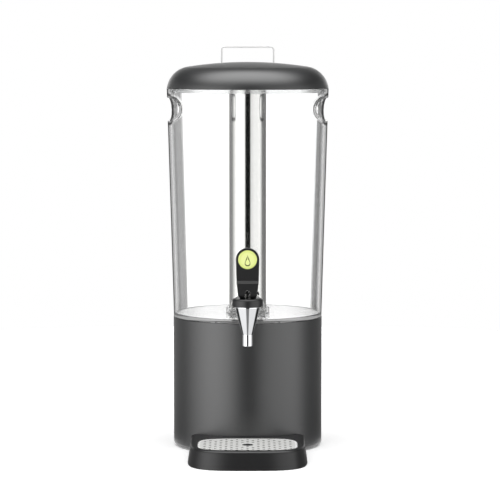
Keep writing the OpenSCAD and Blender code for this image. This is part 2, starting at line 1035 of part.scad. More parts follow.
module handle_washers() {
  color([0.80, 0.81, 0.82]) {
    both_sides()
      translate([handle_screw_x, 0, 0])
        ring(handle_screw_d * 1.25, handle_screw_r + fit_gap, handle_foot_z - handle_t - 1, 1);
  }
}

base_shell();
base_plate();
base_screws();
rubber_feet();
drip_tray();
drip_grid();
tank();
tap_body();
tap_collar();
tap_nut();
outer_washer();
inner_washer();
stem_seal();
tap_stem();
seat_cup();
tap_spring();
tap_lever();
lever_pin();
lever_badge();
ice_tube();
tube_foot();
tube_seal();
lid_shell();
lid_seal();
lid_handle();
handle_screws();
handle_washers();
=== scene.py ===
"""Looks of the juice dispenser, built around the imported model.
Lengths are in millimetres until a mesh is made."""

import math

import bmesh
import bpy
import numpy as np
from mathutils import Matrix, Vector


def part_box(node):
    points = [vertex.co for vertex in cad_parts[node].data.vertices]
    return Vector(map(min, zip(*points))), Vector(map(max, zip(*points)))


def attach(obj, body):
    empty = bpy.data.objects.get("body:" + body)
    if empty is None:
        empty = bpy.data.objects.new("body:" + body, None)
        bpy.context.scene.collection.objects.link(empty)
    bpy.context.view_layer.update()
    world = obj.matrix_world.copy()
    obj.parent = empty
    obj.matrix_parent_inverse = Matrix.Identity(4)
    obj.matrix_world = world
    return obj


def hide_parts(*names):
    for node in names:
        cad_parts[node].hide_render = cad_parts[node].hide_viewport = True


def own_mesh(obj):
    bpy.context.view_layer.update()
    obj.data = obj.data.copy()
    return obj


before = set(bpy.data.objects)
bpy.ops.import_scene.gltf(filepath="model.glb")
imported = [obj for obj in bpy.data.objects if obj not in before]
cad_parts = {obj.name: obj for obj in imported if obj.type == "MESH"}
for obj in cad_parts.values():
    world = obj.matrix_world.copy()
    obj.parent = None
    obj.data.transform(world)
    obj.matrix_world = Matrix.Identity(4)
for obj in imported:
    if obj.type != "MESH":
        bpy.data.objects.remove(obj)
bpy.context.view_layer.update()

MM = 0.001
TURN = 2 * math.pi


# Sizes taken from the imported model

def size(node):
    """Lowest and highest corner of a CAD node, in millimetres."""
    low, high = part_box(node)
    return low / MM, high / MM


base_low, base_high = size("base_shell")
base_r = base_high.x
base_top = base_high.z
tank_low, tank_high = size("tank")
rim_r = tank_high.x
rim_z = tank_high.z
tube_low, tube_high = size("ice_tube")
tube_r = tube_high.x
lid_low, lid_high = size("lid_shell")
seal_high = size("lid_seal")[1]
handle_low, handle_high = size("lid_handle")
washer_low, washer_high = size("outer_washer")
shank_z = (washer_low.z + washer_high.z) / 2
pad_face = -washer_high.y
pad_back = -size("inner_washer")[0].y
collar_low, collar_high = size("tap_collar")
collar_r = collar_high.x
tap_y = (collar_low.y + collar_high.y) / 2
tap_low, tap_high = size("tap_body")
badge_low, badge_high = size("lever_badge")
badge_z = (badge_low.z + badge_high.z) / 2
spring_low, spring_high = size("tap_spring")
tray_high = size("drip_tray")[1]
grid_low, grid_high = size("drip_grid")
grid_y = (grid_low.y + grid_high.y) / 2

# Sizes that the boxes of the nodes don't give

BASE_WALL = 3
BASE_EDGE = 5
RIM_WIDTH = 5.5
SEAT_DEPTH = 12
DECK = 3
TANK_STEP = 0.4
TANK_WALL = 4
TANK_FLOOR = 5.5
FLOOR_EDGE = 0.8
SPIGOT_R = 103.2
SPIGOT_WALL = 3.5
SOCKET_R = 29.9
SOCKET_WALL = 2.5
SOCKET_HEIGHT = 8
GRIP_R = 16.5
GRIP_X = 115.085
GRIP_HALF = 24.13
GRIP_DROP = 31
PAD_WIDTH = 46
SHANK_R = 8.2
SHANK_BORE = 5.5
WASHER = 2
FLANGE = 4
FLANGE_OUT = 0.5
FIT_GAP = 0.1
CONE_R = 18
CONE_TOP = 219
CONE_FOOT = 180.4
CONE_WALL = 2.5
TIP_R = 7.5
OUTLET_R = 5.2
SEAT_RISE = 9
COLLAR_EDGE = 3
COLLAR_TOP = 3.7
STEM_HOLE_R = 2.55
LID_DROP = 5
LID_SHOULDER = 36
LID_WALL = 3
SEAL_WIDTH = 7
SEAL_RIB = 2.4
HANDLE_STRIP = 2
HANDLE_FOOT = 17
HANDLE_SCREW = 2
BOSS_R = 5.5
WIRE_R = 0.55
SPRING_TURNS = 7
BADGE_BEVEL = 1.6
BADGE_SUNK = 0.02
TRAY_HALF = 81.5
TRAY_WIDE = -150
TRAY_FRONT = 89
TRAY_REAR = -79
TRAY_CORNER = 10
TRAY_FLARE = 3.5
TRAY_RIM_OUT = 0.5
TRAY_EDGE = 4
TRAY_WALL = 2.5
TRAY_FLOOR = 2.5
TRAY_LEDGE = 4
TRAY_GAP = 0.4
TRAY_POWER = 3.5
GRID_POWER = 4
GRID_GAP = 0.4


# Node helpers

def linear(code):
    """Linear colour of an sRGB hex value."""
    parts = [int(code[i:i + 2], 16) / 255 for i in (1, 3, 5)]
    return [p / 12.92 if p < 0.04045 else ((p + 0.055) / 1.055) ** 2.4 for p in parts] + [1]


def add(tree, kind, links=None, values=None, **settings):
    """Adds a node with its settings, its socket values and the outputs that feed it."""
    node = tree.nodes.new("ShaderNode" + kind)
    for name, setting in settings.items():
        setattr(node, name, setting)
    for socket, value in (values or {}).items():
        node.inputs[socket].default_value = value
    for socket, output in (links or {}).items():
        tree.links.new(output, node.inputs[socket])
    return node


def finish(name, colour, **values):
    """A material with a principled shader, whose sockets are named with _ for a space."""
    material = bpy.data.materials.new(name)
    material.use_nodes = True
    tree = material.node_tree
    shader = tree.nodes["Principled BSDF"]
    shader.inputs["Base Color"].default_value = linear(colour)
    for socket, value in values.items():
        shader.inputs[socket.replace("_", " ")].default_value = value
    return material, tree, shader


def per_mm(length):
    """Texture scale that gives features of a length in millimetres."""
    return 1 / (length * MM)


# Materials

def moulded_abs(name, colour, pale, rough, level, coat):
    """ABS from a spark-eroded mould: a fine satin grain that spreads every highlight.
    The real grain is about 0.2 mm, and it is drawn at 0.9 mm so that it shows."""
    material, tree, shader = finish(name, colour, Roughness=rough, Specular_IOR_Level=level,
                                    Coat_Weight=coat, Coat_Roughness=0.38)
    place = add(tree, "TexCoord").outputs["Object"]
    grain = add(tree, "TexNoise", {"Vector": place}, {"Scale": per_mm(0.9), "Detail": 2})
    flow = add(tree, "TexNoise", {"Vector": place}, {"Scale": per_mm(60), "Detail": 3})
    tint = add(tree, "Mix", {"Factor": flow.outputs["Fac"]}, data_type="RGBA")
    tint.inputs["A"].default_value = linear(colour)
    tint.inputs["B"].default_value = linear(pale)
    tree.links.new(tint.outputs["Result"], shader.inputs["Base Color"])
    gloss = add(tree, "MapRange", {"Value": grain.outputs["Fac"]},
                {"To Min": rough - 0.06, "To Max": rough + 0.06})
    tree.links.new(gloss.outputs["Result"], shader.inputs["Roughness"])
    bump = add(tree, "Bump", {"Height": grain.outputs["Fac"]}, {"Strength": 0.12, "Distance": 0.15 * MM})
    tree.links.new(bump.outputs["Normal"], shader.inputs["Normal"])
    return material


def clear_plastic():
    """Injection-moulded SAN: water clear and glossy. A long slow flow ripple bends what lies behind it."""
    material, tree, shader = finish("clear_moulded_san", "#FFFFFF", Roughness=0.0, IOR=1.52,
                                    Transmission_Weight=1)
    place = add(tree, "TexCoord").outputs["Object"]
    ripple = add(tree, "TexNoise", {"Vector": place}, {"Scale": per_mm(45), "Detail": 1})
    bump = add(tree, "Bump", {"Height": ripple.outputs["Fac"]}, {"Strength": 0.05, "Distance": 0.4 * MM})
    tree.links.new(bump.outputs["Normal"], shader.inputs["Normal"])
    return material


def drawn_steel(name, colour, rough, streak, pull, metal=1):
    """Stainless steel with fine lines along one axis from drawing or brushing, which stretch its reflections.
    The real lines are under 0.1 mm wide, and they are drawn at the streak's width so that they show."""
    material, tree, shader = finish(name, colour, Metallic=metal, Roughness=rough)
    place = add(tree, "TexCoord").outputs["Object"]
    stretch = add(tree, "Mapping", {"Vector": place}, {"Scale": pull})
    lines = add(tree, "TexNoise", {"Vector": stretch.outputs["Vector"]},
                {"Scale": per_mm(streak), "Detail": 3})
    gloss = add(tree, "MapRange", {"Value": lines.outputs["Fac"]},
                {"To Min": rough * 0.6, "To Max": rough * 1.4})
    tree.links.new(gloss.outputs["Result"], shader.inputs["Roughness"])
    bump = add(tree, "Bump", {"Height": lines.outputs["Fac"]}, {"Strength": 0.06, "Distance": 0.02 * MM})
    tree.links.new(bump.outputs["Normal"], shader.inputs["Normal"])
    return material


def perforated_steel():
    """Satin stainless sheet, punched full of holes: a fine brushed grain and a lighter band round its border.
    Painted shade: the walls of the holes and the sheet's cut edge are coloured near black for the shade in
    the holes.
    The real grain is under 0.1 mm wide, and it is drawn at 0.6 mm so that it shows."""
    material, tree, shader = finish("satin_perforated_steel", "#E4E4E2", Metallic=0.25, Roughness=0.5)
    place = add(tree, "TexCoord").outputs["Object"]
    stretch = add(tree, "Mapping", {"Vector": place}, {"Scale": (0.03, 1, 1)})
    lines = add(tree, "TexNoise", {"Vector": stretch.outputs["Vector"]}, {"Scale": per_mm(0.6), "Detail": 3})
    gloss = add(tree, "MapRange", {"Value": lines.outputs["Fac"]}, {"To Min": 0.38, "To Max": 0.62})
    tree.links.new(gloss.outputs["Result"], shader.inputs["Roughness"])
    # Painted shade: faces that stand upright, the hole walls and the cut edge, are picked out here to take a
    # near-black colour for the shade in the holes
    facing = add(tree, "SeparateXYZ", {"Vector": add(tree, "NewGeometry").outputs["True Normal"]})
    upward = add(tree, "Math", {0: facing.outputs["Z"]}, operation="ABSOLUTE")
    flat = add(tree, "MapRange", {"Value": upward.outputs["Value"]}, {"From Min": 0.3, "From Max": 0.7})
    # A lighter colour in a band round the sheet's border
    middle = Vector((0, grid_y, grid_high.z)) * MM
    half = Vector((grid_high.x, grid_high.y - grid_y, 1e6)) * MM
    offset = add(tree, "VectorMath", {0: place}, {1: middle}, operation="SUBTRACT")
    share = add(tree, "VectorMath", {0: offset.outputs["Vector"]}, {1: half}, operation="DIVIDE")
    axes = add(tree, "SeparateXYZ", {"Vector": share.outputs["Vector"]})
    powers = []
    for axis in ("X", "Y"):
        length = add(tree, "Math", {0: axes.outputs[axis]}, operation="ABSOLUTE")
        power = add(tree, "Math", {0: length.outputs["Value"]}, {1: GRID_POWER}, operation="POWER")
        powers.append(power.outputs["Value"])
    edge = add(tree, "Math", {0: powers[0], 1: powers[1]}, operation="ADD")
    border = add(tree, "MapRange", {"Value": edge.outputs["Value"]}, {"From Min": 0.82, "From Max": 0.86})
    face = add(tree, "Mix", {"Factor": border.outputs["Result"]}, data_type="RGBA")
    face.inputs["A"].default_value = linear("#DCDCDA")
    face.inputs["B"].default_value = linear("#F4F4F3")
    # Painted shade: upright faces get near black, flat faces get the sheet's colour
    tint = add(tree, "Mix", {"Factor": flat.outputs["Result"], "B": face.outputs["Result"]}, data_type="RGBA")
    tint.inputs["A"].default_value = linear("#101010")
    tree.links.new(tint.outputs["Result"], shader.inputs["Base Color"])
    return material


def chrome_plate():
    """Chrome plated on moulded plastic: a bright mirror with a trace of the mould's waviness."""
    material, tree, shader = finish("chrome_plate", "#EDEEF0", Metallic=1, Roughness=0.05)
    place = add(tree, "TexCoord").outputs["Object"]
    wave = add(tree, "TexNoise", {"Vector": place}, {"Scale": per_mm(14), "Detail": 1})
    bump = add(tree, "Bump", {"Height": wave.outputs["Fac"]}, {"Strength": 0.04, "Distance": 0.1 * MM})
    tree.links.new(bump.outputs["Normal"], shader.inputs["Normal"])
    return material


def cast_silicone():
    """Translucent silicone from a mould: milky, soft to the light, with a dusty bloom in its gloss."""
    material, tree, shader = finish("translucent_silicone", "#F8F9F9", Roughness=0.15, IOR=1.41,
                                    Transmission_Weight=0.9)
    place = add(tree, "TexCoord").outputs["Object"]
    bloom = add(tree, "TexNoise", {"Vector": place}, {"Scale": per_mm(6), "Detail": 3})
    gloss = add(tree, "MapRange", {"Value": bloom.outputs["Fac"]}, {"To Min": 0.08, "To Max": 0.22})
    tree.links.new(gloss.outputs["Result"], shader.inputs["Roughness"])
    return material


def white_nylon():
    """Moulded nylon: off-white and waxy, a little see-through at its edges."""
    material, tree, shader = finish("moulded_white_nylon", "#EFEFEA", Roughness=0.4, IOR=1.53,
                                    Subsurface_Weight=0.3, Subsurface_Radius=(0.004, 0.004, 0.004),
                                    Subsurface_Scale=1)
    place = add(tree, "TexCoord").outputs["Object"]
    wax = add(tree, "TexNoise", {"Vector": place}, {"Scale": per_mm(3), "Detail": 3})
    gloss = add(tree, "MapRange", {"Value": wax.outputs["Fac"]}, {"To Min": 0.32, "To Max": 0.5})
    tree.links.new(gloss.outputs["Result"], shader.inputs["Roughness"])
    return material


def foot_rubber():
    """Moulded black rubber: dull, with a dry speckle where it grips the table."""
    material, tree, shader = finish("moulded_black_rubber", "#1A1A1A", Roughness=0.8, Specular_IOR_Level=0.3)
    place = add(tree, "TexCoord").outputs["Object"]
    speck = add(tree, "TexNoise", {"Vector": place}, {"Scale": per_mm(0.8), "Detail": 4})
    bump = add(tree, "Bump", {"Height": speck.outputs["Fac"]}, {"Strength": 0.3, "Distance": 0.1 * MM})
    tree.links.new(bump.outputs["Normal"], shader.inputs["Normal"])
    return material


def lime_disc():
    """Lime acrylic disc: glossy and evenly coloured, a little deeper in colour towards its rim."""
    material, tree, shader = finish("lime_gloss_acrylic", "#E8F09C", Roughness=0.22, IOR=1.49,
                                    Coat_Weight=0.3, Coat_Roughness=0.1)
    place = add(tree, "TexCoord").outputs["Object"]
    middle = Vector((0, badge_low.y, badge_z)) * MM
    radius = add(tree, "VectorMath", {0: place}, {1: middle}, operation="DISTANCE")
    rim = add(tree, "MapRange", {"Value": radius.outputs["Value"]},
              {"From Min": 0.6 * badge_high.x * MM, "From Max": badge_high.x * MM},
              interpolation_type="SMOOTHSTEP")
    # The colour turns deeper from 0.6 of the radius out to the rim
    tint = add(tree, "Mix", {"Factor": rim.outputs["Result"]}, data_type="RGBA")
    tint.inputs["A"].default_value = linear("#EBF2A2")
    tint.inputs["B"].default_value = linear("#DDE886")
    tree.links.new(tint.outputs["Result"], shader.inputs["Base Color"])
    return material


def olive_ink():
    """Screen-printed olive ink: matt and slightly uneven in cover."""
    material, tree, shader = finish("printed_olive_ink", "#3F470C", Roughness=0.6)
    place = add(tree, "TexCoord").outputs["Object"]
    cover = add(tree, "TexNoise", {"Vector": place}, {"Scale": per_mm(1.5), "Detail": 2})
    gloss = add(tree, "MapRange", {"Value": cover.outputs["Fac"]}, {"To Min": 0.5, "To Max": 0.7})
    tree.links.new(gloss.outputs["Result"], shader.inputs["Roughness"])
    return material


anthracite = moulded_abs("anthracite_moulded_abs", "#1C1D1E", "#202122", 0.36, 0.7, 1)
black = moulded_abs("black_moulded_abs", "#161617", "#1B1B1C", 0.36, 0.55, 0.1)
clear = clear_plastic()
tube_steel = drawn_steel("polished_drawn_steel", "#D9D9D7", 0.06, 0.8, (1, 1, 0.02))
sheet_steel = perforated_steel()
strip_steel = drawn_steel("satin_strip_steel", "#F6F6F5", 0.42, 0.5, (1, 0.04, 1), 0.2)
bright_steel = drawn_steel("turned_bright_steel", "#C8C8C6", 0.22, 0.3, (1, 1, 0.1))
chrome = chrome_plate()
silicone = cast_silicone()
nylon = white_nylon()
rubber = foot_rubber()
lime = lime_disc()
ink = olive_ink()


# Mesh helpers

def upright(x=0, y=0):
    """Places a radius, a turn and a height about a vertical axis."""
    return lambda r, turn, h: (x + r * math.cos(turn), y + r * math.sin(turn), h)


def forward(z):
    """Places a radius, a turn and a distance along the tap's shank, which runs to the front."""
    return lambda r, turn, h: (r * math.cos(turn), -h, z + r * math.sin(turn))


def arc(x, y, radius, first, last, steps):
    """Points of an arc between two angles in degrees."""
    turns = [math.radians(first + (last - first) * i / steps) for i in range(steps + 1)]
    return [(x + radius * math.cos(turn), y + radius * math.sin(turn)) for turn in turns]


def rounded(corners, step=15):
    """Outline through corners (x, y) or (x, y, radius), with an arc at each corner that has a radius."""
    points = []
    for before, corner, after in zip(corners[-1:] + corners[:-1], corners, corners[1:] + corners[:1]):
        middle = Vector(corner[:2])
        if len(corner) == 2:
            points.append(tuple(middle))
            continue
        one = (Vector(before[:2]) - middle).normalized()
        two = (Vector(after[:2]) - middle).normalized()
        half = one.angle(two) / 2
        centre = middle + (one + two).normalized() * corner[2] / math.sin(half)
        spoke = middle + one * corner[2] / math.tan(half) - centre
        sweep = math.copysign(math.pi - 2 * half, -one.cross(two))
        steps = max(2, round(math.degrees(abs(sweep)) / step))
        points += [tuple(centre + Matrix.Rotation(sweep * i / steps, 2) @ spoke) for i in range(steps + 1)]
    return points


def shaded(mesh, sharp=35):
    """Turns the faces outward and smooths them, apart from edges sharper than an angle."""
    form = bmesh.new()
    form.from_mesh(mesh)
    bmesh.ops.recalc_face_normals(form, faces=form.faces)
    form.to_mesh(mesh)
    form.free()
    mesh.shade_smooth()
    mesh.set_sharp_from_angle(angle=math.radians(sharp))
    return mesh


def skin(name, rows, closed=False):
    """Mesh through rows of points, where a row of one point closes an end."""
    points = []
    ids = []
    for row in rows:
        ids.append(range(len(points), len(points) + len(row)))
        points += [(x * MM, y * MM, z * MM) for x, y, z in row]
    faces = []
    for one, two in zip(ids, [*ids[1:], ids[0]] if closed else ids[1:]):
        count = max(len(one), len(two))
        for i in range(count):
            j = (i + 1) % count
            corners = (one[i % len(one)], one[j % len(one)], two[j % len(two)], two[i % len(two)])
            faces.append(list(dict.fromkeys(corners)))
    mesh = bpy.data.meshes.new(name)
    mesh.from_pydata(points, [], faces)
    return shaded(mesh)


def lathe(name, outline, place, steps=128):
    """Outline of (radius, height) points turned about an axis. It is a ring unless it starts on the axis."""
    rows = []
    for radius, height in outline:
        turns = steps if radius > 0 else 1
        rows.append([place(radius, TURN * i / turns, height) for i in range(turns)])
    return skin(name, rows, closed=outline[0][0] > 0)


def block(name, low, high):
    """A box between two corners."""
    rows = [[(low[0], low[1], z), (high[0], low[1], z), (high[0], high[1], z), (low[0], high[1], z)]
            for z in (low[2], high[2])]
    middle = [(low[i] + high[i]) / 2 for i in (0, 1)]
    ends = [[(*middle, low[2])], [(*middle, high[2])]]
    return skin(name, [ends[0], *rows, ends[1]])


def carved(mesh, tool, operation="DIFFERENCE"):
    """The mesh after a tool mesh is cut from it or joined to it."""
    work = [bpy.data.objects.new("work", part) for part in (mesh, tool)]
    for part in work:
        bpy.context.scene.collection.objects.link(part)
    change = work[0].modifiers.new("carve", "BOOLEAN")
    change.operation = operation
    change.object = work[1]
    graph = bpy.context.evaluated_depsgraph_get()
    result = bpy.data.meshes.new_from_object(work[0].evaluated_get(graph))
    for part in work:
        bpy.data.objects.remove(part)
    result.name = mesh.name
    return shaded(result)


def softened(node, width, sharp=30, steps=3):
    """A copy of a CAD node's mesh with its sharp edges rounded."""
    form = bmesh.new()
    form.from_mesh(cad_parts[node].data)
    bmesh.ops.remove_doubles(form, verts=form.verts, dist=0.001 * MM)
    bmesh.ops.dissolve_limit(form, angle_limit=math.radians(0.3), verts=form.verts, edges=form.edges)
    edges = [e for e in form.edges if e.is_manifold and e.calc_face_angle() > math.radians(sharp)]
    bmesh.ops.bevel(form, geom=edges, offset=width * MM, offset_type="OFFSET", segments=steps, profile=0.5,
                    affect="EDGES", clamp_overlap=True)
    mesh = bpy.data.meshes.new(node + "_softened")
    form.to_mesh(mesh)
    form.free()
    return shaded(mesh)


def show(name, mesh, body, slot, material, *nodes):
    """Adds a piece to the scene, on a body, in place of CAD nodes."""
    piece = bpy.data.objects.new(name, mesh)
    bpy.context.scene.collection.objects.link(piece)
    mesh.materials.clear()
    mesh.materials.append(material)
    piece.modifiers.new("flat_faces_stay_flat", "WEIGHTED_NORMAL").keep_sharp = True
    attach(piece, body)
    if nodes:
        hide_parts(*nodes)
    return piece


def paint(material, *nodes):
    """Gives CAD nodes that stay in view their material."""
    for node in nodes:
        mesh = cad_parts[node].data
        mesh.materials.clear()
        mesh.materials.append(material)


# Base

def base_outline():
    deck_top = base_top - SEAT_DEPTH
    inside = base_r - BASE_WALL
    edge_x = base_r - BASE_EDGE
    edge_z = base_low.z + BASE_EDGE
    cut = math.degrees(math.acos((inside - edge_x) / BASE_EDGE))
    upper = rounded([(0, deck_top - DECK), (0, deck_top), (base_r - RIM_WIDTH, deck_top, 0.8),
                     (base_r - RIM_WIDTH, base_top, 0.5), (base_r, base_top, 0.8), (base_r, edge_z)])
    lower = arc(edge_x, edge_z, BASE_EDGE, 0, -cut, 8)
    return upper[1:-1] + lower + [(inside, deck_top - DECK), (0, deck_top - DECK)]


show("base_drum", lathe("base_drum", base_outline(), upright(), 192), "base", "anthracite_plastic",
     anthracite, "base_shell")
paint(black, "base_plate")
paint(bright_steel, "base_screws")
paint(rubber, "rubber_feet")


# Drip tray

def tray_inside(x, y, out, gap):
    """True where a point lies in the tray's plan, grown by out and kept a gap from the base."""
    side = TRAY_HALF + out
    if math.hypot(x, y) < base_r + gap:
        return False
    if y < TRAY_WIDE:
        front = TRAY_FRONT + out
        return (abs(x) / side) ** TRAY_POWER + ((TRAY_WIDE - y) / front) ** TRAY_POWER < 1
    rear = TRAY_REAR + min(out, 0)
    return math.hypot(max(abs(x) - side + TRAY_CORNER, 0), max(y - rear + TRAY_CORNER, 0)) < TRAY_CORNER


def tray_reach(turn, out, gap):
    """Distance from the grid's centre to the edge of the tray's plan in one direction."""
    near = 0
    far = 2 * TRAY_HALF
    for step in range(24):
        middle = (near + far) / 2
        if tray_inside(middle * math.cos(turn), grid_y + middle * math.sin(turn), out, gap):
            near = middle
        else:
            far = middle
    return near


def even_turns(count):
    """Directions from the grid's centre that divide the tray's outline into even lengths."""
    fine = [TURN * i / 2880 for i in range(2881)]
    edge = [tray_reach(turn, TRAY_RIM_OUT, TRAY_GAP) * np.exp(1j * turn) for turn in fine]
    length = np.concatenate([[0], np.cumsum(np.abs(np.diff(edge)))])
    return np.interp(np.arange(count) * length[-1] / count, length, fine)


def tray_row(turns, out, gap, z):
    """One ring of the tray's skirt or rim."""
    reach = [tray_reach(turn, out, gap) for turn in turns]
    return [(r * math.cos(turn), grid_y + r * math.sin(turn), z) for r, turn in zip(reach, turns)]


def oval_row(turns, out, z):
    """One ring of the grid's outline, grown by out."""
    half_x = grid_high.x + out
    half_y = grid_high.y - grid_y + out
    row = []
    for turn in turns:
        x = math.cos(turn)
        y = math.sin(turn)
        r = (abs(x / half_x) ** GRID_POWER + abs(y / half_y) ** GRID_POWER) ** (-1 / GRID_POWER)
        row.append((r * x, grid_y + r * y, z))
    return row


def tray_rows():
    turns = even_turns(320)
    top = tray_high.z
    bend = top - TRAY_EDGE
    hollow = grid_low.z - 3
    rows = [[(0, grid_y, 0)], oval_row(turns, TRAY_WALL - TRAY_LEDGE - 1, 0),
            oval_row(turns, TRAY_WALL - TRAY_LEDGE, 1), oval_row(turns, TRAY_WALL - TRAY_LEDGE, hollow),
            tray_row(turns, TRAY_RIM_OUT - TRAY_WALL, TRAY_GAP + TRAY_WALL, hollow)]
    rows.append(tray_row(turns, TRAY_FLARE - TRAY_WALL, TRAY_GAP + TRAY_WALL, 0))
    rows.append(tray_row(turns, TRAY_FLARE - 0.4, TRAY_GAP + 0.2, 0))
    rows.append(tray_row(turns, TRAY_FLARE, TRAY_GAP, 0.4))
    for share in (0.33, 0.67, 1):
        rows.append(tray_row(turns, TRAY_FLARE + (TRAY_RIM_OUT - TRAY_FLARE) * share, TRAY_GAP, bend * share))
    for out, rise in arc(TRAY_RIM_OUT - TRAY_EDGE, bend, TRAY_EDGE, 0, 90, 6)[1:]:
        rows.append(tray_row(turns, out, TRAY_GAP + 0.4 * (TRAY_RIM_OUT - out), rise))
    bowl = rounded([(5, top), (GRID_GAP, top, 0.6), (GRID_GAP, grid_low.z, 0.2),
                    (-TRAY_LEDGE, grid_low.z, 0.5), (-TRAY_LEDGE, TRAY_FLOOR, 3), (-10, TRAY_FLOOR)], 30)
    for out, rise in bowl[1:]:
        rows.append(oval_row(turns, out, rise))
    rows.append([(0, grid_y, TRAY_FLOOR)])
    return rows


show("tray_moulding", skin("tray_moulding", tray_rows()), "tray", "black_plastic", black, "drip_tray")
paint(sheet_steel, "drip_grid")


# Tank

def smooth_max(one, two, blend):
    """The larger of two distances, with a rounded seam."""
    near = np.maximum(blend - np.abs(one - two), 0)
    return np.maximum(one, two) + near * near / (4 * blend)


def tank_outside(x, y, z, inset):
    """Distance outside the tank's skin, which is the hollow's skin where it is inset by the wall."""
    foot_r = base_r - TANK_STEP
    cone = foot_r + (rim_r - foot_r) * (z - base_top) / (rim_z - base_top)
    drum = np.hypot(x, y) - cone + inset
    across = np.minimum(np.abs(x) - GRIP_X, 0)
    along = np.maximum(np.abs(y) - GRIP_HALF, 0)
    grip = GRIP_R + inset - np.sqrt(across ** 2 + along ** 2 + (z - rim_z + GRIP_DROP) ** 2)
    wall = smooth_max(drum, grip, 3 if inset else 1.2)
    arch = np.hypot(x, np.maximum(z - shank_z, 0)) - PAD_WIDTH / 2
    if inset:
        return smooth_max(wall, -smooth_max(arch, y + pad_back, 1.5), 2)
    pad = smooth_max(smooth_max(arch, -y - pad_face, 1.5), y, 1.5)
    return -smooth_max(-wall, -pad, 1.5)


def tank_radius(turns, z, inset):
    """Radius of the tank's skin in each direction at a height."""
    near = np.full(len(turns), 60.0)
    far = np.full(len(turns), rim_r + 10.0)
    for step in range(24):
        middle = (near + far) / 2
        outside = tank_outside(middle * np.cos(turns), middle * np.sin(turns), z, inset) > 0
        far = np.where(outside, middle, far)
        near = np.where(outside, near, middle)
    return near


def stretches(*limits):
    """Values that run through stretches of (first, last, step), with each shared limit once."""
    values = []
    for first, last, step in limits:
        count = max(1, round((last - first) / step))
        values += [first + (last - first) * i / count for i in range(count)]
    return values


def tank_rows():
    turns = np.radians(stretches((-30, 30, 1), (30, 150, 1.5), (150, 210, 1), (210, 244, 1.5), (244, 253, 1),
                                 (253, 287, 0.6), (287, 296, 1), (296, 330, 1.5)))

    def ring(radius, z):
        reach = np.broadcast_to(radius, turns.shape)
        return list(zip(reach * np.cos(turns), reach * np.sin(turns), np.full(len(turns), z)))

    floor = base_top + TANK_FLOOR
    grip_z = rim_z - GRIP_DROP
    heights = [*stretches((base_top + 0.4, base_top + 46, 0.8), (base_top + 46, grip_z - 26, 12),
                          (grip_z - 26, grip_z + 24, 0.8), (grip_z + 24, rim_z - 1, 2)), rim_z - 1]
    rows = [[(0, 0, base_top)]]
    spigot_in = SPIGOT_R - SPIGOT_WALL
    for radius, z in rounded([(spigot_in, base_top, 0.5), (spigot_in, tank_low.z, 0.8),
                              (SPIGOT_R, tank_low.z, 0.8), (SPIGOT_R, base_top)]):
        rows.append(ring(radius, z))
    rows.append(ring(tank_radius(turns, base_top, 0) - 0.4, base_top))
    for z in heights:
        rows.append(ring(tank_radius(turns, z, 0), z))
    for back, rise in arc(1, 0, 1, 180, 90, 3)[1:]:
        rows.append(ring(tank_radius(turns, rim_z, 0) - back, rim_z - 1 + rise))
    for back, rise in arc(TANK_WALL - 1, 0, 1, 90, 0, 3)[:-1]:
        rows.append(ring(tank_radius(turns, rim_z, 0) - back, rim_z - 1 + rise))
    for z in reversed([h for h in heights if h > floor + FLOOR_EDGE]):
        rows.append(ring(tank_radius(turns, z, TANK_WALL), z))
    low_edge = tank_radius(turns, floor + FLOOR_EDGE, TANK_WALL)
    for back, drop in arc(FLOOR_EDGE, 0, FLOOR_EDGE, 180, 270, 5):
        rows.append(ring(low_edge - back, floor + FLOOR_EDGE + drop))
    socket_out = SOCKET_R + SOCKET_WALL
    socket_top = floor + SOCKET_HEIGHT
    socket = rounded([(socket_out, floor, 0.8), (socket_out, socket_top, 0.8), (SOCKET_R, socket_top, 0.8),
                      (SOCKET_R, floor, 0.4), (0, floor)])
    for radius, z in socket[:-1]:
        rows.append(ring(radius, z))
    rows.append([(0, 0, floor)])
    return rows


def shank_tool(radius, first, last):
    """A plain round bar along the tap's shank."""
    return lathe("shank_tool", [(0, first), (radius, first), (radius, last), (0, last)], forward(shank_z), 96)


shank_hole = shank_tool(SHANK_R + FIT_GAP, pad_back - 10, pad_face + 10)
tank_wall = carved(skin("tank_wall", tank_rows()), shank_hole)
show("tank_wall", tank_wall, "tank", "clear_plastic", clear, "tank")


# Tap

def tap_mesh():
    top = tap_high.z
    seat = CONE_FOOT + SEAT_RISE
    slope = (CONE_R - TIP_R) / (CONE_TOP - CONE_FOOT)
    chamber_top = CONE_R - CONE_WALL
    chamber_foot = chamber_top - (CONE_TOP - seat) * slope
    place = upright(0, tap_y)
    cone = lathe("tap_chrome", rounded([(0, tap_low.z), (TIP_R, tap_low.z, 0.6), (TIP_R, CONE_FOOT, 2),
                                        (CONE_R, CONE_TOP, 1), (CONE_R, top), (0, top)]), place, 160)
    front = -tap_y
    flange_r = -washer_low.z + shank_z + FLANGE_OUT
    flange_back = pad_face + WASHER
    flange_front = pad_face + WASHER + FLANGE
    shank = rounded([(0, -tap_high.y), (SHANK_R, -tap_high.y, 1), (SHANK_R, flange_back, 0.3),
                     (flange_r, flange_back, 0.5), (flange_r, flange_front, 0.8),
                     (SHANK_R, flange_front, 1.5), (SHANK_R, front), (0, front)])
    solid = carved(cone, lathe("tap_shank", shank, forward(shank_z), 96), "UNION")
    chamber = [(0, tap_low.z - 1), (OUTLET_R, tap_low.z - 1), (OUTLET_R, seat), (chamber_foot, seat),
               (chamber_top, CONE_TOP), (chamber_top, top + 1), (0, top + 1)]
    hollow = lathe("tap_hollow", chamber, place, 96)
    solid = carved(solid, hollow)
    return carved(solid, shank_tool(SHANK_BORE, -tap_high.y - 1, front))


def collar_outline():
    inner = CONE_R + FIT_GAP
    roof = collar_high.z - COLLAR_TOP
    return rounded([(STEM_HOLE_R, collar_high.z, 0.4), (collar_r, collar_high.z, COLLAR_EDGE),
                    (collar_r, collar_low.z, 0.8), (inner, collar_low.z, 0.4), (inner, roof),
                    (STEM_HOLE_R, roof)])


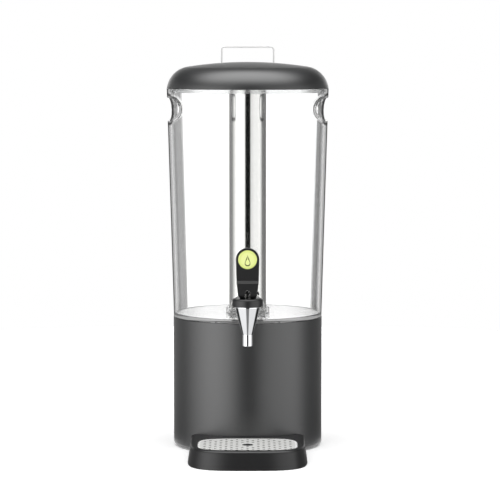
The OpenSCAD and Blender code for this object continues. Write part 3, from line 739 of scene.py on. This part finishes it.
show("tap_chrome", tap_mesh(), "tank", "chromed_plastic", chrome, "tap_body")
show("tap_ring", lathe("tap_ring", collar_outline(), upright(0, tap_y)), "tank", "black_plastic", black,
     "tap_collar")
show("tap_hex_nut", softened("tap_nut", 0.7), "tank", "white_plastic", nylon, "tap_nut")
paint(silicone, "outer_washer", "inner_washer", "stem_seal", "seat_cup")
paint(black, "tap_stem")


def spring_rows(sides=10, steps=24):
    """Rings of wire along the spring's helix."""
    coil_r = spring_high.x - WIRE_R
    first = spring_low.z + WIRE_R
    rise = spring_high.z - spring_low.z - 2 * WIRE_R
    count = SPRING_TURNS * steps
    place = upright(0, tap_y)
    middles = [place(coil_r, TURN * i / steps, first + rise * i / count) for i in range(count + 1)]
    rows = [[middles[0]]]
    for i, middle in enumerate(middles):
        turn = TURN * i / steps
        ring = []
        for k in range(sides):
            lean = TURN * k / sides
            out = WIRE_R * math.cos(lean)
            up = WIRE_R * math.sin(lean)
            ring.append((middle[0] + out * math.cos(turn), middle[1] + out * math.sin(turn), middle[2] + up))
        rows.append(ring)
    rows.append([middles[-1]])
    return rows


spring = show("valve_spring", skin("valve_spring", spring_rows()), "stem", "bright_steel", bright_steel,
              "tap_spring")
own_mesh(spring)

show("lever_moulding", softened("tap_lever", 0.9), "lever", "black_plastic", black, "tap_lever")
show("lever_rivet", softened("lever_pin", 0.35), "lever", "bright_steel", bright_steel, "lever_pin")


# Badge

badge_r = badge_high.x
badge_back = -badge_high.y
badge_face = -badge_low.y - BADGE_SUNK
badge_outline = rounded([(0, badge_back), (badge_r, badge_back), (badge_r, -badge_low.y - 0.3, 0.25),
                         (badge_r - BADGE_BEVEL, badge_face, 0.4), (0, badge_face)])
badge_dome = lathe("badge_disc", badge_outline, forward(badge_z), 96)
show("badge_disc", badge_dome, "lever", "lime_plastic", lime, "lever_badge")


def drop_rows():
    """A drop drawn as a closed line of ink, with a round foot and a pointed top."""
    line = 0.75
    half_wide = 6
    half_high = 7.6
    sunk = 0.8
    steps = 72
    face = badge_low.y + BADGE_SUNK
    front = face - BADGE_SUNK
    back = face + 0.1
    rows = []
    for i in range(steps):
        turn = TURN * i / steps
        lean = math.sin(turn / 2) ** 3
        x = half_wide * math.sin(turn) * lean
        z = badge_z - sunk + half_high * math.cos(turn)
        out = Vector((x, z - badge_z)).normalized() * line
        rows.append([(x - out.x, front, z - out.y), (x + out.x, front, z + out.y),
                     (x + out.x, back, z + out.y), (x - out.x, back, z - out.y)])
    return rows


show("badge_drop", skin("badge_drop", drop_rows(), closed=True), "lever", "black_plastic", ink)


# Ice tube

tube_outline = rounded([(tube_r, tube_low.z, 0.3), (tube_r, tube_high.z, 0.4), (tube_r - 1, tube_high.z, 0.4),
                        (tube_r - 1, tube_low.z, 0.3)], 30)
show("tube_wall", lathe("tube_wall", tube_outline, upright(), 160), "ice_tube", "polished_steel", tube_steel,
     "ice_tube")
paint(nylon, "tube_foot")
paint(silicone, "tube_seal")


# Lid

def lid_outline():
    edge_z = lid_low.z - LID_DROP
    centre_x = rim_r - LID_SHOULDER
    rise = lid_high.z - edge_z
    crown = (centre_x ** 2 + rise ** 2 - LID_SHOULDER ** 2) / (2 * (rise - LID_SHOULDER))
    crown_z = lid_high.z - crown
    join = math.degrees(math.atan2(edge_z - crown_z, centre_x))
    seal_middle = (seal_high.x + seal_high.x - SEAL_WIDTH) / 2
    rib_out = seal_middle + SEAL_RIB / 2
    rib_in = seal_middle - SEAL_RIB / 2
    inner = LID_SHOULDER - LID_WALL
    rib_first = math.degrees(math.acos((rib_out - centre_x) / inner))
    rib_last = math.degrees(math.acos((rib_in - centre_x) / inner))
    lip_out = math.degrees(math.asin((LID_DROP + 1.5) / LID_SHOULDER))
    lip_in = math.degrees(math.asin((LID_DROP + 1.5) / inner))
    outside = arc(0, crown_z, crown, 90, join, 24)[1:]
    outside += arc(centre_x, edge_z, LID_SHOULDER, join, lip_out, 24)[1:]
    edge_out = centre_x + math.sqrt(LID_SHOULDER ** 2 - LID_DROP ** 2)
    edge_in = centre_x + math.sqrt(inner ** 2 - LID_DROP ** 2)
    lip = rounded([(edge_out, lid_low.z + 2), (edge_out, lid_low.z, 0.6), (edge_in, lid_low.z, 0.4),
                   (edge_in, lid_low.z + 2)])[1:-1]
    rib = rounded([(rib_out, lid_low.z + 5), (rib_out, lid_low.z + 1, 0.5), (rib_in, lid_low.z + 1, 0.5),
                   (rib_in, lid_low.z + 5)])[1:-1]
    inside = (arc(centre_x, edge_z, inner, lip_in, rib_first, 8) + rib
              + arc(centre_x, edge_z, inner, rib_last, join, 8)
              + arc(0, crown_z, crown - LID_WALL, join, 90, 24)[1:-1])
    return [(0, lid_high.z)] + outside + lip + inside + [(0, lid_high.z - LID_WALL)]


lid_mesh = lathe("lid_dome", lid_outline(), upright(), 192)
foot_z = handle_low.z + HANDLE_STRIP
boss_top = lid_high.z - LID_WALL / 2 - 0.5
hole_top = lid_high.z - LID_WALL - 1
for side in (-1, 1):
    place = upright(side * (handle_high.x - HANDLE_STRIP - HANDLE_FOOT / 2))
    boss = lathe("boss", [(0, foot_z), (BOSS_R, foot_z), (BOSS_R, boss_top), (0, boss_top)], place, 64)
    lid_mesh = carved(lid_mesh, boss, "UNION")
    bore = HANDLE_SCREW + FIT_GAP
    hole = lathe("hole", [(0, foot_z - 1), (bore, foot_z - 1), (bore, hole_top), (0, hole_top)], place, 48)
    lid_mesh = carved(lid_mesh, hole)
    outer = side * (handle_high.x + FIT_GAP)
    inner = side * (handle_high.x - HANDLE_STRIP - FIT_GAP)
    deep = handle_high.y + FIT_GAP
    slot_low = (min(outer, inner), -deep, lid_high.z - 12)
    slot_high = (max(outer, inner), deep, lid_high.z + 5)
    lid_mesh = carved(lid_mesh, block("slot_tool", slot_low, slot_high))
show("lid_dome", lid_mesh, "lid", "anthracite_plastic", anthracite, "lid_shell")
show("handle_strip", softened("lid_handle", 0.9), "lid", "polished_steel", strip_steel, "lid_handle")
paint(silicone, "lid_seal")
paint(bright_steel, "handle_screws", "handle_washers")


# Floor, world and camera

def white_floor():
    """A matt white table top, as bright as the background where nothing shades it.
    Mirrors see it only close by. Further out they see the room's light through it, dimmer near the object."""
    bpy.ops.mesh.primitive_circle_add(vertices=128, radius=1.5, fill_type="NGON")
    floor = bpy.context.object
    floor.name = "white_table"
    material, tree, shader = finish("matt_white_table", "#E8E8E8", Roughness=0.9, Specular_IOR_Level=0.0)
    path = add(tree, "LightPath")
    seen = add(tree, "Math", {0: path.outputs["Is Camera Ray"], 1: path.outputs["Is Glossy Ray"]},
               operation="MAXIMUM")
    lift = add(tree, "Math", {0: seen.outputs["Value"]}, {1: 0.235}, operation="MULTIPLY")
    shader.inputs["Emission Color"].default_value = (1, 1, 1, 1)
    tree.links.new(lift.outputs["Value"], shader.inputs["Emission Strength"])
    place = add(tree, "TexCoord").outputs["Object"]
    reach = add(tree, "VectorMath", {0: place}, operation="LENGTH")
    far = add(tree, "MapRange", {"Value": reach.outputs["Value"]}, {"From Min": 0.12, "From Max": 0.15},
              interpolation_type="SMOOTHSTEP")
    gone = add(tree, "Math", {0: far.outputs["Result"], 1: path.outputs["Is Glossy Ray"]},
               operation="MULTIPLY")
    shade = add(tree, "MapRange", {"Value": reach.outputs["Value"]},
                {"From Min": 0.2, "From Max": 0.9, "To Min": 0.7, "To Max": 1})
    open_air = add(tree, "BsdfTransparent", {"Color": shade.outputs["Result"]})
    blend = add(tree, "MixShader", {0: gone.outputs["Value"], 1: shader.outputs["BSDF"],
                                    2: open_air.outputs["BSDF"]})
    tree.links.new(blend.outputs["Shader"], tree.nodes["Material Output"].inputs["Surface"])
    floor.data.materials.append(material)


def ramp(tree, value, first, last, stops, top):
    """Brightness along a measured value, from stops of (value, brightness), with brightness 1 as top."""
    share = add(tree, "MapRange", {"Value": value}, {"From Min": first, "From Max": last})
    band = add(tree, "ValToRGB", {"Fac": share.outputs["Result"]})
    points = band.color_ramp.elements
    while len(points) < len(stops):
        points.new(0.5)
    for point, (place, level) in zip(points, stops):
        point.position = (place - first) / (last - first)
        point.color = (level / top, level / top, level / top, 1)
    return band.outputs["Color"]


def studio():
    """White all round for the eye. Metal and plastic mirror two side panels, a dark gap at the camera and
    a light above. What is seen straight through the clear tank is white, with a soft grey strip on each side.
    Turns are in degrees from the front, to the right, and brightness 1 is white."""
    world = bpy.data.worlds.new("studio")
    bpy.context.scene.world = world
    world.use_nodes = True
    tree = world.node_tree
    path = add(tree, "LightPath")
    way = add(tree, "TexCoord").outputs["Generated"]
    axes = add(tree, "SeparateXYZ", {"Vector": way})
    front = add(tree, "Math", {0: axes.outputs["Y"]}, {1: -1}, operation="MULTIPLY")
    turn = add(tree, "Math", {0: axes.outputs["X"], 1: front.outputs["Value"]}, operation="ARCTAN2")
    degrees = add(tree, "Math", {0: turn.outputs["Value"]}, operation="DEGREES")
    top = 3.3
    dark = 0.002

    def grey(level):
        return (level / top, level / top, level / top, 1)

    # Side panels all round, and their light on the table further down
    panels = ramp(tree, degrees.outputs["Value"], -180, 180,
                  [(-180, 0.42), (-163, 0.4), (-146, 0.25), (-110, 0.28), (-97, 0.8), (-85, 1.3), (-62, 2.45),
                   (-40, 2.45),
                   (-17, 1.4), (-13.5, dark), (15.5, dark), (18, 1.1), (40, 1.4), (76, 1.6), (87, 1.2),
                   (95, 0.6), (102, 0.2), (146, 0.17), (163, 0.4), (180, 0.42)], top)
    floor_cards = ramp(tree, degrees.outputs["Value"], -180, 180,
                       [(-180, 0.03), (-108, 0.03), (-100, 1.25), (-18, 1.25), (-14, 0.28), (14, 0.28),
                        (18, 1.1), (95, 1.1), (103, 0.03), (180, 0.03)], top)
    under = add(tree, "MapRange", {"Value": axes.outputs["Z"]},
                {"From Min": math.sin(math.radians(-14)), "From Max": math.sin(math.radians(-20))},
                interpolation_type="SMOOTHSTEP")
    sides = add(tree, "Mix", {"Factor": under.outputs["Result"], "A": panels, "B": floor_cards},
                data_type="RGBA")

    # The wall behind the object, with a dark band for mirrors
    away = add(tree, "Math", {0: degrees.outputs["Value"]}, operation="ABSOLUTE")
    behind = add(tree, "MapRange", {"Value": away.outputs["Value"]}, {"From Min": 155, "From Max": 160})
    slit = ramp(tree, axes.outputs["Z"], -0.2, 0.2,
                [(-0.125, 0.42), (-0.115, 0.05), (0.01, 0.05), (0.035, 1.6), (0.1, 1.2), (0.2, 0.6)], top)
    wall = add(tree, "Mix", {"Factor": path.outputs["Is Transmission Ray"], "A": slit}, data_type="RGBA")
    wall.inputs["B"].default_value = grey(1.3)
    round_wall = add(tree, "Mix", {"Factor": behind.outputs["Result"], "A": sides.outputs["Result"],
                                   "B": wall.outputs["Result"]}, data_type="RGBA")
    low = add(tree, "MapRange", {"Value": axes.outputs["Z"]},
              {"From Min": math.sin(math.radians(9)), "From Max": math.sin(math.radians(24)),
               "To Min": 1, "To Max": 0.2}, interpolation_type="SMOOTHSTEP")
    walls = add(tree, "Mix", {"B": round_wall.outputs["Result"]}, {"Factor": 1}, data_type="RGBA",
                blend_type="MULTIPLY")
    tree.links.new(low.outputs["Result"], walls.inputs["A"])

    # A wide softbox above, which leans to the front
    lean = math.radians(8)
    narrow = add(tree, "VectorMath", {0: way}, {1: (0.6, 1, 1)}, operation="MULTIPLY")
    unit = add(tree, "VectorMath", {0: narrow.outputs["Vector"]}, operation="NORMALIZE")
    height = add(tree, "VectorMath", {0: unit.outputs["Vector"]}, {1: (0, -math.sin(lean), math.cos(lean))},
                 operation="DOT_PRODUCT")
    above = add(tree, "MapRange", {"Value": height.outputs["Value"]},
                {"From Min": math.sin(math.radians(46)), "From Max": math.sin(math.radians(80))},
                interpolation_type="SMOOTHSTEP")
    ceiling = add(tree, "Mix", {"Factor": above.outputs["Result"], "A": walls.outputs["Result"]},
                  data_type="RGBA")
    ceiling.inputs["B"].default_value = grey(top)

    # What is seen straight through the tank: white, with a grey strip beside each of the four main directions
    off = add(tree, "Math", {0: degrees.outputs["Value"]}, {1: 45, 2: -45}, operation="WRAP")
    backdrop = ramp(tree, off.outputs["Value"], -45, 45,
                    [(-18, 1.1), (-15, 0.5), (-13, 0.35), (-10.5, 0.1), (-8.8, 0.12), (-8, 0.18),
                     (-7.4, 0.27), (-5.9, 0.32), (-5.6, 1.4), (-2, 1.2), (0, 1.1), (2, 1.2), (4.8, 1.4),
                     (5.1, 0.42), (8, 0.46), (8.6, 0.3), (10.5, 0.3), (13, 0.4), (15, 0.5), (18, 1.1)], top)
    bare = add(tree, "Math", {0: path.outputs["Glossy Depth"]}, {1: 0.5}, operation="LESS_THAN")
    through = add(tree, "Math", {0: path.outputs["Is Transmission Ray"], 1: bare.outputs["Value"]},
                  operation="MULTIPLY")

    # What is mirrored inside the clear walls, which is brightest near their edges
    short = add(tree, "Math", {0: path.outputs["Transmission Depth"]}, {1: 2.5}, operation="LESS_THAN")
    inside = add(tree, "Math", {0: path.outputs["Is Transmission Ray"], 1: short.outputs["Value"]},
                 operation="MULTIPLY")
    edge = ramp(tree, away.outputs["Value"], 0, 180,
                [(0, 0.2), (138, 0.2), (147, 0.65), (160, 0.65), (164.5, 0.12), (171, 0.12), (174, 0.45),
                 (180, 0.45)], top)
    often = add(tree, "Math", {0: path.outputs["Glossy Depth"]}, {1: 1.5}, operation="GREATER_THAN")
    slab = add(tree, "Mix", {"Factor": often.outputs["Value"], "A": edge}, data_type="RGBA")
    slab.inputs["B"].default_value = grey(0.4)
    rim = add(tree, "Mix", {"Factor": inside.outputs["Value"], "A": ceiling.outputs["Result"],
                            "B": slab.outputs["Result"]}, data_type="RGBA")

    # Light that crossed many clear walls, made brighter for what they keep back
    many = add(tree, "Math", {0: path.outputs["Transmission Depth"]}, {1: 7.5}, operation="GREATER_THAN")
    deep = add(tree, "Mix", {"Factor": many.outputs["Value"], "A": rim.outputs["Result"]}, data_type="RGBA")
    deep.inputs["B"].default_value = grey(2.8)
    seen = add(tree, "Mix", {"Factor": through.outputs["Value"], "A": deep.outputs["Result"], "B": backdrop},
               data_type="RGBA")
    eye = add(tree, "Mix", {"Factor": path.outputs["Is Camera Ray"], "A": seen.outputs["Result"]},
              data_type="RGBA")
    eye.inputs["B"].default_value = grey(1)
    light = tree.nodes["Background"]
    light.inputs["Strength"].default_value = top
    tree.links.new(eye.outputs["Result"], light.inputs["Color"])


def photo_camera():
    """A long lens in front of the tap, looking down a little, as in the photo."""
    lens = bpy.data.cameras.new("photo_camera")
    lens.sensor_width = 36
    lens.lens = 192.65
    camera = bpy.data.objects.new("photo_camera", lens)
    camera.location = (0.0034, -3.922, 0.6322)
    camera.rotation_euler = (math.radians(90 - 5.025), 0, 0)
    bpy.context.scene.collection.objects.link(camera)
    bpy.context.scene.camera = camera


white_floor()
studio()
photo_camera()
bpy.context.scene.view_settings.view_transform = "Standard"
